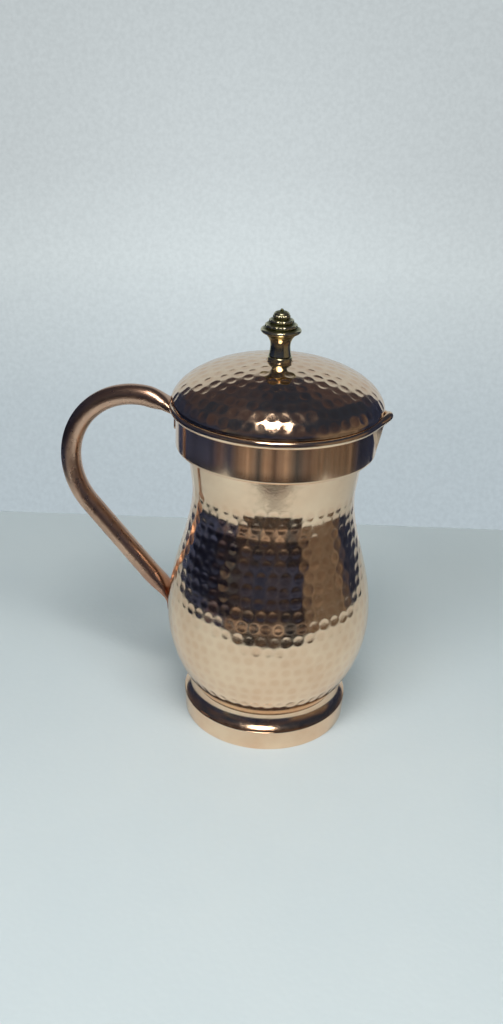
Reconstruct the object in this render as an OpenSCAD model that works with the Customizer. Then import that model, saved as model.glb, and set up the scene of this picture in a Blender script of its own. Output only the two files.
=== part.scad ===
// Hammered copper water jug with a lift-off lid.
// Millimetres, +Z up, origin at the centre of the foot's resting ring.
// The spout points along +X and the handle along -X.

/* [Sheet] */
// Thickness of the copper sheet of the body, foot, collar and lid
sheet_t = 1; // [0.7:0.1:1.3]

/* [Body] */
// Radius of the belly at its widest
belly_r = 60.6; // [50:0.2:73]
// Height of the belly's widest point above the waist
belly_h = 49; // [38:1:60]
// Radius of the curve that rounds the belly in towards the waist
belly_arc = 80; // [66:1:96]
// Height over which the belly narrows to the neck
shoulder_h = 82; // [68:1:100]
// Radius of the neck, before its flare
neck_r = 46; // [38:0.2:56]
// Height of the flaring neck, up to the collar
neck_h = 22; // [16:1:40]
// How much the neck's radius grows for each millimetre of height near the collar
neck_slope = 0.15; // [0:0.01:0.16]

/* [Foot] */
// Height of the waist, where the body sits on the foot
waist_z = 21; // [17.5:0.5:30]
// How far the foot's sharp edge stands out of the waist
foot_out = 6.2; // [4:0.1:8]
// How much smaller the foot is at the table than at its edge
foot_taper = 0.8; // [0:0.1:2]
// Radius of the hollow curve between the waist and the foot's edge
cove_r = 9; // [8:0.5:12]
// Height of the folded hem at the foot's lower edge
hem_h = 3; // [2:0.5:5]
// Length of the spigot that holds the body in the foot
spigot_h = 4.5; // [3:0.5:6]

/* [Collar] */
// How far the collar stands out of the neck
collar_out = 10.4; // [10:0.2:14]
// Height of the collar, from its lower face to the middle of the rim
collar_h = 23; // [21:0.5:30]
// Radius of the collar's rounded lower corner
collar_corner = 2; // [1.5:0.1:2.6]
// Radius of the corner where the neck turns out into its flange
flare_r = 2.6; // [2:0.2:3]
// Radius of the wire that the rim is rolled over
wire_r = 1.3; // [0.8:0.1:1.8]

/* [Spout] */
// How far the spout's wall reaches out of the collar
spout_reach = 4.7; // [3:0.1:10]
// Height of the spout, from its lowest point to the middle of the rim
spout_h = 20; // [14:0.5:21]
// Half of the angle that the spout takes up at the rim
spout_half = 14; // [10:1:20]

/* [Handle] */
// Radius of the handle's tube
tube_r = 6; // [5:0.1:7.5]
// Wall of the handle's tube
tube_t = 1; // [0.8:0.1:1.5]
// Radius of the handle's bend, to the middle of the tube
bend_r = 43; // [38:0.5:50]
// How far the middle of the bend is outside the collar
bend_out = 25; // [20:0.5:32]
// How far the middle of the bend is below the middle of the rim
bend_drop = 45; // [40:0.5:52]
// Slant of the handle's straight run from upright
run_slant = 42.4; // [38:0.2:45]
// Width of the flattened ends
tab_w = 16; // [12:0.5:18]
// Height of the upper tab on the collar
tab_h = 15; // [11:0.5:16]
// Length of the lower tongue on the belly
tongue_h = 15; // [10:0.5:18]

/* [Lid] */
// How far the lid reaches past the middle of the rim
lid_over = 1.4; // [0.5:0.1:2]
// Height of the lid's dome above its centre of curve
dome_h = 26.6; // [18:0.2:36]
// How far the dome's full radius would pass the lid's edge
dome_past = 0.5; // [0.2:0.1:1.5]
// Height of the lid's upright edge
lid_edge_h = 1.3; // [0.8:0.1:3]
// Gap between the rim and the lid's edge
lid_gap = 0.6; // [0.4:0.1:1.2]
// Gap round the locating ring, in the mouth
skirt_gap = 0.5; // [0.3:0.1:1]
// Thickness of the locating ring
skirt_t = 0.8; // [0.6:0.1:1.2]
// How deep the locating ring reaches below the top of the rim
skirt_depth = 10; // [6:0.5:14]

/* [Knob] */
// Radius of the knob's base
knob_base_r = 6.8; // [5.5:0.1:8]
// Radius of the knob's stem at its thinnest
knob_stem_r = 5.9; // [4:0.1:6.2]
// Height of the knob's stem
knob_stem_h = 15.4; // [12:0.2:22]
// Radius of the knob's widest disc
knob_disc_r = 11.1; // [9.6:0.1:14]
// Thickness of one disc of the knob
knob_disc_t = 2.55; // [2:0.05:3.2]
// How much smaller each disc is than the one below it
knob_disc_step = 2.1; // [1.6:0.1:2.4]
// Radius of the screw that holds the knob
screw_r = 2; // [1.5:0.1:2.5]
// How deep the screw goes into the knob
screw_grip = 11; // [8:0.5:14]

/* [Hidden] */

$fn = 96;
curve_steps = 18;            // straight pieces along one curved stretch of an outline
knob_discs = 4;

belly_z = waist_z + belly_h;
neck_z = belly_z + shoulder_h;
collar_z = neck_z + neck_h;
waist_r = belly_radius(waist_z);
seat_r = waist_r - sheet_t;                  // where the body's spigot meets the foot
foot_r = waist_r + foot_out;
cove_x = waist_r + cove_r;
edge_angle = acos(1 - foot_out / cove_r);
spigot_bottom = waist_z - spigot_h;
collar_r = neck_r + collar_out;
ledge_z = collar_z + sheet_t;                // the body's flange lies on the collar's flange
flare_soft = 8;                              // half of the height over which the neck's flare sets in
neck_lean = atan(neck_slope);
neck_top = ledge_z - flare_r * (1 - sin(neck_lean));
flare_x = belly_radius(neck_top) + flare_r * cos(neck_lean);
flange_gap = 0.5;
flange_r = collar_r - sheet_t - flange_gap;
mouth_r = collar_r - sheet_t;
rim_z = collar_z + collar_h;
roll_r = wire_r + sheet_t;                   // outer radius of the rolled rim
roll_x = mouth_r + roll_r;

spout_tip_x = collar_r + spout_reach;
spout_foot_z = rim_z - spout_h;
spout_side = collar_r * [cos(spout_half), sin(spout_half)];
spout_lean = atan2(spout_reach, spout_h);    // slant of the spout's keel from upright
lip_angle = atan2(spout_tip_x - spout_side.x, spout_side.y);
side_angle = atan2((spout_tip_x - spout_side.x) * cos(spout_lean), spout_side.y);
spout_shift = sheet_t / cos(side_angle) / cos(spout_lean);     // one sheet thickness, along X
lip_x = spout_tip_x + wire_r / cos(lip_angle);                 // tip of the lips' middle line
lip_end = roll_x * [cos(spout_half), sin(spout_half)];         // where a lip meets the rolled rim

bend_x = collar_r + bend_out;
bend_z = rim_z - bend_drop;
run_start = [bend_x + bend_r * cos(run_slant), bend_z - bend_r * sin(run_slant)];
run_dir = [-sin(run_slant), -cos(run_slant)];
tab_t = 2 * tube_t + 0.1;                    // the tube pressed flat
tongue_half = asin(tab_w / 2 / belly_r);
tab_top = rim_z - roll_r - 0.3;
bend_top_angle = 98;                         // where the round tube starts to flatten
landing_t = landing(2 * bend_r, 8);
tongue_top = run_point(landing_t).y + tongue_h / 3;
flatten_l = 14;                              // length over which the lower end flattens
flat_t = 4.4;                                // thickness of the tube where it meets the belly
neck_down_t = 6.6;                           // thickness of the tube where it bends down to the collar
tab_lean = 120;                              // slant of the tube where it bends down, from upright
run_step = 0.05;                             // the straight run is this much thinner than the bend
end_r = tube_r + 0.15;                       // where the flattened ends begin, just outside the tube
overlap = 1;                                 // how far one stretch of the handle runs into the next

lid_r = roll_x + lid_over;
dome_r = lid_r + dome_past;
lid_bottom = rim_z + roll_r + lid_gap;
dome_start = acos(lid_r / dome_r);
dome_z = lid_bottom + lid_edge_h - dome_h * sin(dome_start);
crown_flat_r = knob_base_r + 0.4;
dome_end = acos(crown_flat_r / dome_r);
crown_z = dome_z + dome_h * sin(dome_end);
skirt_r = mouth_r - skirt_gap;
skirt_bottom = rim_z + roll_r - skirt_depth;

washer_t = 1;
washer_r = knob_base_r - 0.4;
hole_gap = 0.15;
head_r = 1.9 * screw_r;
head_h = 1.2 * screw_r;
slot_w = 0.5 * screw_r;

copper = "#b87350";
copper_bright = "#c98463";
copper_satin = "#9c5f42";
brass = "#a58a48";
steel = "#8d8f92";

// Outlines. A path runs upwards along the outer face, as points [radius, height].
function unit(v) = v / norm(v);
function reverse(path) = [for (i = [len(path) - 1 : -1 : 0]) path[i]];
function along(path, i) = unit(path[min(i + 1, len(path) - 1)] - path[max(i - 1, 0)]);
function inset(path, t) = [for (i = [0 : len(path) - 1]) let (d = along(path, i)) path[i] + t * [-d.y, d.x]];
function wall(path, t) = concat(path, reverse(inset(path, t)));
function slice(list) = [for (i = [1 : len(list) - 1]) list[i]];
function span(from, to) = [for (i = [0 : curve_steps]) from + (to - from) * i / curve_steps];

// Radius of the body at a height: a round belly, then a soft S-shaped curve up to a neck that flares again
function belly_radius(z) = z < belly_z
    ? belly_r - belly_arc + sqrt(pow(belly_arc, 2) - pow(belly_z - z, 2))
    : neck_r + (belly_r - neck_r) * (1 - cos(180 * max(0, neck_z - z) / shoulder_h)) / 2
        + neck_flare(z) - neck_flare(belly_z);
// Growth of the neck's radius, which sets in softly round the flare's start
function neck_flare(z) = let (above = z - (neck_z - flare_soft / 2))
    neck_slope / 2 * (above + norm([above, flare_soft]));
function belly_path(from) =
    [for (z = concat(span(from, belly_z), slice(span(belly_z, neck_z)), slice(span(neck_z, neck_top))))
        [belly_radius(z), z]];
function flare_path() =
    [for (a = slice(span(neck_lean, 90))) [flare_x - flare_r * cos(a), ledge_z - flare_r + flare_r * sin(a)]];
function cove_path() = [for (a = span(edge_angle, 0)) [cove_x - cove_r * cos(a), waist_z - cove_r * sin(a)]];
function corner_path() = [for (a = span(-90, 0))
    [collar_r - collar_corner + collar_corner * cos(a), collar_z + collar_corner + collar_corner * sin(a)]];
function lid_path() = concat([[lid_r, lid_bottom]], dome_path());
function dome_path() = [for (a = span(dome_start, dome_end)) [dome_r * cos(a), dome_z + dome_h * sin(a)]];

// Handle route, as points [distance from the axis, height]
function bend_point(a) = [bend_x + bend_r * cos(a), bend_z + bend_r * sin(a)];
function run_point(t) = run_start + t * run_dir;
// Length of the straight run down to the tongue on the belly, closed in on over a few rounds
function landing(t, rounds) = rounds == 0 ? t
    : landing((run_start.x - belly_radius(run_point(t).y) - tab_t) / sin(run_slant), rounds - 1);

// Body: one spun and hammered sheet, from the spigot in the foot to the flange under the collar
module body_shell() {
    color(copper)
        rotate_extrude()
            polygon(wall(concat(
                [[seat_r, spigot_bottom], [seat_r, waist_z]],
                belly_path(waist_z + sheet_t / 2),
                flare_path(),
                [[flange_r, ledge_z]]), sheet_t));
}

// Bottom: a shallow dished disc pushed up into the spigot
module bottom_disc() {
    r = seat_r - sheet_t;
    color(copper_bright)
        rotate_extrude()
            polygon([[0, waist_z - sheet_t], [r - sheet_t, waist_z - sheet_t], [r - sheet_t, spigot_bottom],
                     [r, spigot_bottom], [r, waist_z], [0, waist_z]]);
}

// Foot: a spun ring with a hollow curve, a sharp edge, a band and a folded hem
module foot_ring() {
    base_r = foot_r - foot_taper;
    color(copper_bright)
        rotate_extrude() {
            polygon(wall(concat([[base_r, 0]], cove_path()), sheet_t));
            polygon([[base_r, 0], [base_r, hem_h], [base_r - 2 * sheet_t, hem_h], [base_r - 2 * sheet_t, 0]]);
        }
}

// Space inside the spout's two outer faces, from its foot up to a height, set back along X
module spout_wedge(back, top) {
    w = spout_side.y;
    intersection() {
        translate([collar_r - 0.1 - back, 0, spout_foot_z])
            rotate([0, spout_lean, 0])
                translate([0, 0, -spout_h])
                    linear_extrude(3 * spout_h)
                        polygon([[0, 0], 2 * w * [-tan(side_angle), 1], 2 * w * [-tan(side_angle), -1]]);
        translate([spout_side.x - 0.4, -w - sheet_t, spout_foot_z])
            cube([collar_r, 2 * (w + sheet_t), top - spout_foot_z]);
    }
}

// Collar: a band with a flange under the body's flange and a rim rolled over a wire
module neck_collar() {
    color(copper_bright) {
        difference() {
            rotate_extrude()
                polygon(wall(concat([[flare_x + flange_gap, collar_z]], corner_path(), [[collar_r, rim_z]]),
                             sheet_t));
            spout_wedge(0, rim_z + sheet_t);
        }
        rotate_extrude(angle = 360 - 2 * spout_half, start = spout_half)
            translate([roll_x, rim_z])
                difference() {
                    circle(roll_r);
                    circle(wire_r);
                }
    }
}

// Wire inside the rolled rim, open at the spout
module rim_wire() {
    color(steel)
        rotate_extrude(angle = 360 - 2 * spout_half, start = spout_half)
            translate([roll_x, rim_z])
                circle(wire_r);
}

// Spout: a folded sheet with two flat sides, brazed into a notch in the collar
module spout_beak() {
    color(copper_bright)
        difference() {
            spout_wedge(0, rim_z);
            translate([0, 0, -sheet_t])
                spout_wedge(spout_shift - sheet_t * tan(spout_lean), rim_z + 2 * sheet_t);
        }
}

// Round wire brazed along both lips of the spout, mitred to the rolled rim
module spout_edge() {
    run = [lip_x - lip_end.x, lip_end.y];
    color(copper_bright)
        difference() {
            intersection() {
                union() {
                    translate([lip_x, 0, rim_z])
                        sphere(roll_r);
                    for (side = [-1, 1])
                        translate([lip_x, 0, rim_z])
                            rotate([0, -90, -side * atan2(run.y, run.x)])
                                cylinder(r = roll_r, h = norm(run) + roll_r);
                }
                rotate_extrude(angle = 2 * spout_half, start = -spout_half)
                    translate([neck_r, rim_z - 2 * roll_r])
                        square([collar_r, 4 * roll_r]);
            }
            spout_wedge(0, rim_z);
            rotate_extrude()
                translate([mouth_r, spout_foot_z])
                    square([sheet_t, spout_h]);
        }
}

// Cross-section of the handle at a point of its route: a slab across it, round or flattened
module handle_slab(p, lean, half_w, half_t) {
    translate([-p.x, 0, p.y])
        rotate([0, lean, 0])
            linear_extrude(0.2, center = true)
                scale_oval(half_t, half_w);
}

// Oval that keeps its ends round: two circles joined along Y
module scale_oval(half_t, half_w) {
    for (side = [-1, 1])
        translate([0, side * (half_w - half_t)])
            circle(half_t, $fn = 32);
}

// Space inside the collar, the neck and the belly, as one solid, for trimming the handle
module body_space() {
    rotate_extrude()
        polygon(concat([[0, waist_z + sheet_t]], belly_path(waist_z + sheet_t),
                       [[collar_r, collar_z + collar_corner], [collar_r, rim_z], [0, rim_z]]));
}

// Handle: one bent tube with both ends pressed flat
module handle() {
    neck_down = [collar_r + 6.5, tab_top - 2.4];
    color(copper_satin) {
        // bend
        translate([-bend_x, 0, bend_z])
            rotate([90, 0, 0])
                rotate_extrude(angle = run_slant + bend_top_angle, start = 180 - bend_top_angle)
                    translate([bend_r, 0])
                        difference() {
                            circle(tube_r);
                            circle(tube_r - tube_t);
                        }
        // straight run, its start just inside the bend
        translate([-run_start.x, 0, run_start.y])
            rotate([0, 180 - run_slant, 0])
                difference() {
                    translate([0, 0, -overlap])
                        cylinder(r = tube_r - run_step, h = landing_t - flatten_l + overlap);
                    translate([0, 0, -2 * overlap])
                        cylinder(r = tube_r - tube_t - run_step, h = landing_t);
                }
        difference() {
            union() {
                // upper end, flattening as it nears the collar
                hull() {
                    handle_slab(bend_point(bend_top_angle - 2), bend_top_angle, end_r, end_r);
                    handle_slab(neck_down, tab_lean, 0.45 * tab_w, neck_down_t / 2);
                }
                hull() {
                    handle_slab(neck_down, tab_lean, 0.45 * tab_w, neck_down_t / 2);
                    translate([-collar_r - tab_t, -tab_w / 2, tab_top - 5])
                        cube([tab_t, tab_w, 5]);
                }
                // upper tab on the collar
                translate([-collar_r - tab_t, -tab_w / 2, tab_top - tab_h])
                    cube([tab_t + tab_w / 4, tab_w, tab_h]);
                // lower end, flattening as it nears the belly
                hull() {
                    handle_slab(run_point(landing_t - flatten_l - overlap), 180 - run_slant, end_r, end_r);
                    handle_slab(run_point(landing_t + tab_t), 180 - run_slant - 12, tab_w / 2, flat_t / 2);
                }
            }
            body_space();
        }
        // lower tongue on the belly
        rotate_extrude(angle = 2 * tongue_half, start = 180 - tongue_half)
            polygon(wall([for (z = span(tongue_top - tongue_h, tongue_top)) [belly_radius(z), z]], -tab_t));
    }
}

// Lid: a spun and hammered dome with an upright edge and a flat crown
module lid_dome() {
    path = lid_path();
    color(copper)
        difference() {
            rotate_extrude()
                polygon(concat(path, [[0, crown_z], [0, crown_z - sheet_t]], reverse(inset(path, sheet_t))));
            translate([0, 0, crown_z - 2 * sheet_t])
                cylinder(r = screw_r + hole_gap, h = 3 * sheet_t);
        }
}

// Space under the lid's sheet, from a height up, as an outline to spin
module lid_space(bottom) {
    polygon(concat([[0, bottom], [lid_r - sheet_t, bottom]], inset(lid_path(), sheet_t),
                   [[0, crown_z - sheet_t]]));
}

// Ring folded inside the lid's edge, which stiffens it
module lid_hem() {
    color(copper_bright)
        rotate_extrude()
            intersection() {
                translate([lid_r - 2 * sheet_t, lid_bottom])
                    square([sheet_t, lid_edge_h + sheet_t]);
                lid_space(lid_bottom);
            }
}

// Locating ring under the lid, which drops into the mouth
module lid_skirt() {
    color(copper_bright)
        rotate_extrude()
            intersection() {
                translate([skirt_r - skirt_t, skirt_bottom])
                    square([skirt_t, dome_h + skirt_depth]);
                lid_space(skirt_bottom);
            }
}

// One round-edged disc of the knob
module knob_disc(r, z) {
    t = knob_disc_t;
    translate([0, 0, z])
        rotate_extrude() {
            square([r - t / 2, t]);
            translate([r - t / 2, t / 2])
                circle(t / 2);
        }
}

// Knob: turned brass, a waisted stem under a stack of discs and a small ball
module knob_finial() {
    stem = [for (s = span(0, 1))
        [knob_stem_r + (knob_base_r - knob_stem_r) * (1 + cos(360 * s)) / 2
            + (knob_disc_r - knob_disc_step - knob_base_r) * pow(s, 6), crown_z + knob_stem_h * s]];
    top = crown_z + knob_stem_h + knob_discs * knob_disc_t;
    color(brass)
        difference() {
            union() {
                rotate_extrude()
                    polygon(concat([[0, crown_z]], stem, [[0, crown_z + knob_stem_h]]));
                for (i = [0 : knob_discs - 1])
                    knob_disc(knob_disc_r - i * knob_disc_step, crown_z + knob_stem_h + i * knob_disc_t);
                translate([0, 0, top + knob_disc_t / 4])
                    sphere(knob_disc_t * 0.8);
            }
            translate([0, 0, crown_z - 1])
                cylinder(r = screw_r, h = screw_grip + 1);
        }
}

// Screw from inside the lid up into the knob
module knob_screw() {
    seat_z = crown_z - sheet_t - washer_t;
    color(steel)
        difference() {
            union() {
                translate([0, 0, seat_z])
                    cylinder(r = screw_r, h = crown_z + screw_grip - seat_z);
                translate([0, 0, seat_z - head_h])
                    cylinder(r = head_r, h = head_h);
            }
            translate([-head_r - 1, -slot_w / 2, seat_z - head_h - 1])
                cube([2 * head_r + 2, slot_w, 1 + head_h / 2]);
        }
}

// Washer between the screw's head and the lid
module knob_washer() {
    color(brass)
        translate([0, 0, crown_z - sheet_t - washer_t])
            difference() {
                cylinder(r = washer_r, h = washer_t);
                translate([0, 0, -1])
                    cylinder(r = screw_r + hole_gap, h = washer_t + 2);
            }
}

body_shell();
bottom_disc();
foot_ring();
neck_collar();
rim_wire();
spout_beak();
spout_edge();
handle();
lid_dome();
lid_hem();
lid_skirt();
knob_finial();
knob_screw();
knob_washer();
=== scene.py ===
"""Hammered copper water jug with a lift-off lid and a turned brass knob.

Sizes are in millimetres, as on a maker's drawing. Meshes are in metres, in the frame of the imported
model: +Z up along the jug's axis, +X towards the spout, -X towards the handle.
"""
import logging
import math
import random
from dataclasses import dataclass
from enum import Enum

import bmesh
import bpy
import numpy as np
from mathutils import Matrix, Vector, kdtree


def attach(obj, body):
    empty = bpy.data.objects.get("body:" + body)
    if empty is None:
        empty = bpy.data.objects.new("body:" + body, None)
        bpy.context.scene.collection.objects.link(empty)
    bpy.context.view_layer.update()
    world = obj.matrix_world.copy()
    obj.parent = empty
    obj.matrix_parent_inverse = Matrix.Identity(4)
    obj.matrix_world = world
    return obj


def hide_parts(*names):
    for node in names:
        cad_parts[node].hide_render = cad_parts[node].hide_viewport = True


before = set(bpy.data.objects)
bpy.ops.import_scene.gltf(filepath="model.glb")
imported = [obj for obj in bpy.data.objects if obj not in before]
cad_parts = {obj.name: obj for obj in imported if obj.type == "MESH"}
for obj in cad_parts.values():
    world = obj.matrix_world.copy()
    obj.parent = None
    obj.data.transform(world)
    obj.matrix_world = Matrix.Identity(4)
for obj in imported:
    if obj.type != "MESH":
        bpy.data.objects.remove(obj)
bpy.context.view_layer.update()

MM = 0.001
SEED = 7
FULL_TURN = 2 * math.pi
WELD = 1e-7  # metres: points nearer than this become one
ROUND = 2.0  # squareness of a round cross-section
log = logging.getLogger("jug")

Point = tuple[float, float]
Outline = list[Point]


# ---------------------------------------------------------------------------------------------
# Colours and nodes
# ---------------------------------------------------------------------------------------------

def to_linear(hex_colour: str) -> tuple[float, float, float, float]:
    """Turns an sRGB hex colour into linear light.

    Args:
        hex_colour: six hex digits after a hash sign.

    Returns:
        Red, green and blue in linear light, and an alpha of 1.
    """
    shares = [int(hex_colour[i:i + 2], 16) / 255 for i in (1, 3, 5)]
    return (*[s / 12.92 if s <= 0.04045 else ((s + 0.055) / 1.055) ** 2.4 for s in shares], 1.0)


def add_node(tree: bpy.types.NodeTree, kind: str, inputs: dict | None = None, **settings) -> bpy.types.Node:
    """Adds a shader node with its settings and links.

    Args:
        tree: the tree that gets the node.
        kind: Blender's name of the node, after "ShaderNode".
        inputs: a value or an output socket for each input, by the input's name or number.
        **settings: the node's own settings.

    Returns:
        The new node.
    """
    node = tree.nodes.new("ShaderNode" + kind)
    for name, value in settings.items():
        setattr(node, name, value)
    for key, value in (inputs or {}).items():
        if isinstance(value, bpy.types.NodeSocket):
            tree.links.new(value, node.inputs[key])
        else:
            node.inputs[key].default_value = value
    return node


def blank_material(name: str) -> tuple[bpy.types.Material, bpy.types.NodeTree]:
    """Makes a material with an empty node tree.

    Args:
        name: the material's name.

    Returns:
        The material and its tree.
    """
    material = bpy.data.materials.new(name)
    material.use_nodes = True
    material.node_tree.nodes.clear()
    return material, material.node_tree


def set_ramp(node: bpy.types.Node, stops: list[tuple[float, tuple]]) -> bpy.types.NodeSocket:
    """Sets the stops of a colour ramp.

    Args:
        node: the ramp's node.
        stops: place and colour of each stop, in rising order.

    Returns:
        The ramp's colour output.
    """
    elements = node.color_ramp.elements
    while len(elements) < len(stops):
        elements.new(1.0)
    for element, (place, colour) in zip(elements, stops):
        element.position = place
        element.color = colour
    return node.outputs["Color"]


# ---------------------------------------------------------------------------------------------
# Finishes
# ---------------------------------------------------------------------------------------------

class Grain(Enum):
    """How the last tool left its marks on the metal."""
    HAMMERED = "hammered"
    SPUN = "spun"
    BRUSHED_ROUND = "brushed round"
    RUBBED = "rubbed"


@dataclass(frozen=True)
class CopperFinish:
    """Copper sheet or tube, metal all through, with a thin brown bloom where hands and water reach it."""
    name: str
    grain: Grain
    bright: str = "#f9dbbb"
    bloom: str = "#dba680"
    bloom_share: float = 0.35
    rough: float = 0.10
    rough_spread: float = 0.10
    ripple: float = 0.02
    anisotropy: float = 0.0
    heat_z: tuple[float, float] | None = None

    def build(self) -> bpy.types.Material:
        """Makes the material.

        Returns:
            The finished material.
        """
        material, tree = blank_material(self.name)
        place = add_node(tree, "TexCoord").outputs["Object"]
        parts = add_node(tree, "SeparateXYZ", {0: place})
        flat = add_node(tree, "CombineXYZ", {0: parts.outputs[0], 1: parts.outputs[1], 2: 0.0})
        radius = add_node(tree, "VectorMath", {0: flat.outputs[0]}, operation="LENGTH")
        rings = add_node(tree, "CombineXYZ", {0: radius.outputs["Value"], 1: 0.0, 2: parts.outputs[2]})
        # clouds about 25 mm across, where the copper browned; rubbing by hand wipes out their fine detail
        cloud_detail = 1.5 if self.grain is Grain.RUBBED else 5.0
        clouds = add_node(tree, "TexNoise", {"Vector": place, "Scale": 1 / (25 * MM), "Detail": cloud_detail,
                                             "Roughness": 0.62})
        # spots about 4 mm across: water marks and finger prints
        spots = add_node(tree, "TexNoise", {"Vector": place, "Scale": 1 / (4 * MM), "Detail": 3.0,
                                            "Roughness": 0.5})
        # turning lines 0.35 mm apart, drawn twice as coarse as real ones so that they show
        lines = add_node(tree, "TexNoise", {"Vector": rings.outputs[0], "Scale": 1 / (0.7 * MM),
                                            "Detail": 2.0})
        amount = add_node(tree, "MapRange", {"Value": clouds.outputs["Fac"],
                                             "From Min": 0.36, "From Max": 0.74,
                                             "To Min": 0.0, "To Max": self.bloom_share})
        share = amount.outputs[0]
        if self.grain is Grain.HAMMERED:
            hollow = add_node(tree, "Attribute", attribute_name="dent")
            deep = add_node(tree, "MapRange", {"Value": hollow.outputs["Fac"],
                                               "From Min": 0.0, "From Max": 1.0,
                                               "To Min": 0.0, "To Max": 0.22})
            share = add_node(tree, "Math", {0: share, 1: deep.outputs[0]}, operation="ADD",
                             use_clamp=True).outputs[0]
        colour = add_node(tree, "Mix", {"Factor": share, "A": to_linear(self.bright),
                                        "B": to_linear(self.bloom)}, data_type="RGBA").outputs["Result"]
        if self.heat_z:
            # red-brown oxide that the brazing torch left near the lower end
            low, high = self.heat_z
            heat = add_node(tree, "MapRange", {"Value": parts.outputs[2], "From Min": low * MM,
                                               "From Max": high * MM, "To Min": 0.85, "To Max": 0.0})
            uneven = add_node(tree, "Math", {0: heat.outputs[0], 1: spots.outputs["Fac"]},
                              operation="MULTIPLY")
            uneven = add_node(tree, "Math", {0: uneven.outputs[0], 1: 1.6}, operation="MULTIPLY",
                              use_clamp=True)
            colour = add_node(tree, "Mix", {"Factor": uneven.outputs[0], "A": colour,
                                            "B": to_linear("#8c3f28")}, data_type="RGBA").outputs["Result"]
        wear = add_node(tree, "MapRange", {"Value": spots.outputs["Fac"], "From Min": 0.35, "From Max": 0.75,
                                           "To Min": self.rough, "To Max": self.rough + self.rough_spread})
        shader = add_node(tree, "BsdfPrincipled", {"Base Color": colour, "Metallic": 1.0,
                                                   "Roughness": wear.outputs[0],
                                                   "Anisotropic": self.anisotropy,
                                                   "Anisotropic Rotation": 0.25 if self.anisotropy else 0.0})
        if self.grain in (Grain.SPUN, Grain.BRUSHED_ROUND):
            height = lines.outputs["Fac"]
        else:
            # pits and fine planishing texture under a millimetre across
            fine = add_node(tree, "TexNoise", {"Vector": place, "Scale": 1 / (1.1 * MM), "Detail": 3.0})
            height = fine.outputs["Fac"]
        bump = add_node(tree, "Bump", {"Height": height, "Strength": 1.0, "Distance": self.ripple * MM})
        tree.links.new(bump.outputs["Normal"], shader.inputs["Normal"])
        if self.anisotropy:
            tangent = add_node(tree, "Tangent", direction_type="RADIAL", axis="Z")
            tree.links.new(tangent.outputs[0], shader.inputs["Tangent"])
        add_node(tree, "OutputMaterial", {"Surface": shader.outputs[0]})
        return material


@dataclass(frozen=True)
class BrassFinish:
    """Brass rod, turned on a lathe: olive gold on the high spots, and nearly black in the grooves by painted
    shade.
    """
    name: str = "turned_brass"
    bright: str = "#e6dcb6"
    dull: str = "#86845f"
    rough: float = 0.16

    def build(self) -> bpy.types.Material:
        """Makes the material.

        Returns:
            The finished material.
        """
        material, tree = blank_material(self.name)
        place = add_node(tree, "TexCoord").outputs["Object"]
        clouds = add_node(tree, "TexNoise", {"Vector": place, "Scale": 1 / (5 * MM), "Detail": 4.0})
        # painted shade: the brass darkens towards the dull colour in the knob's grooves, by how deep each
        # point lies below the nearby outline; the clouds add random tarnish on top
        groove_shade = add_node(tree, "Attribute", attribute_name="groove_shade")
        cloudy = add_node(tree, "MapRange", {"Value": clouds.outputs["Fac"],
                                             "From Min": 0.4, "From Max": 0.75,
                                             "To Min": 0.0, "To Max": 0.35})
        share = add_node(tree, "Math", {0: groove_shade.outputs["Fac"], 1: cloudy.outputs[0]}, operation="ADD",
                         use_clamp=True)
        colour = add_node(tree, "Mix", {"Factor": share.outputs[0], "A": to_linear(self.bright),
                                        "B": to_linear(self.dull)}, data_type="RGBA")
        wear = add_node(tree, "MapRange", {"Value": share.outputs[0], "To Min": self.rough,
                                           "To Max": self.rough + 0.3})
        # tool marks round the knob, 0.4 mm apart and drawn about twice as coarse so that they show
        marks = add_node(tree, "TexWave", {"Vector": place, "Scale": 1 / (2.5 * MM), "Distortion": 1.5},
                         bands_direction="Z")
        bump = add_node(tree, "Bump", {"Height": marks.outputs["Fac"], "Strength": 1.0,
                                       "Distance": 0.02 * MM})
        shader = add_node(tree, "BsdfPrincipled", {"Base Color": colour.outputs["Result"], "Metallic": 1.0,
                                                   "Roughness": wear.outputs[0],
                                                   "Normal": bump.outputs["Normal"]})
        add_node(tree, "OutputMaterial", {"Surface": shader.outputs[0]})
        return material


@dataclass(frozen=True)
class SteelFinish:
    """Drawn steel wire and screw: grey, with fine lines along it and a little rust bloom."""
    name: str = "drawn_steel"
    bright: str = "#b9bbbd"
    rust: str = "#7a6558"

    def build(self) -> bpy.types.Material:
        """Makes the material.

        Returns:
            The finished material.
        """
        material, tree = blank_material(self.name)
        place = add_node(tree, "TexCoord").outputs["Object"]
        clouds = add_node(tree, "TexNoise", {"Vector": place, "Scale": 1 / (3 * MM), "Detail": 4.0})
        share = add_node(tree, "MapRange", {"Value": clouds.outputs["Fac"], "From Min": 0.45, "From Max": 0.8,
                                            "To Min": 0.0, "To Max": 0.5})
        colour = add_node(tree, "Mix", {"Factor": share.outputs[0], "A": to_linear(self.bright),
                                        "B": to_linear(self.rust)}, data_type="RGBA")
        wear = add_node(tree, "MapRange", {"Value": clouds.outputs["Fac"], "To Min": 0.22, "To Max": 0.5})
        bump = add_node(tree, "Bump", {"Height": clouds.outputs["Fac"], "Strength": 0.6,
                                       "Distance": 0.05 * MM})
        shader = add_node(tree, "BsdfPrincipled", {"Base Color": colour.outputs["Result"], "Metallic": 1.0,
                                                   "Roughness": wear.outputs[0],
                                                   "Normal": bump.outputs["Normal"]})
        add_node(tree, "OutputMaterial", {"Surface": shader.outputs[0]})
        return material


# ---------------------------------------------------------------------------------------------
# Mesh tools
# ---------------------------------------------------------------------------------------------

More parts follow.
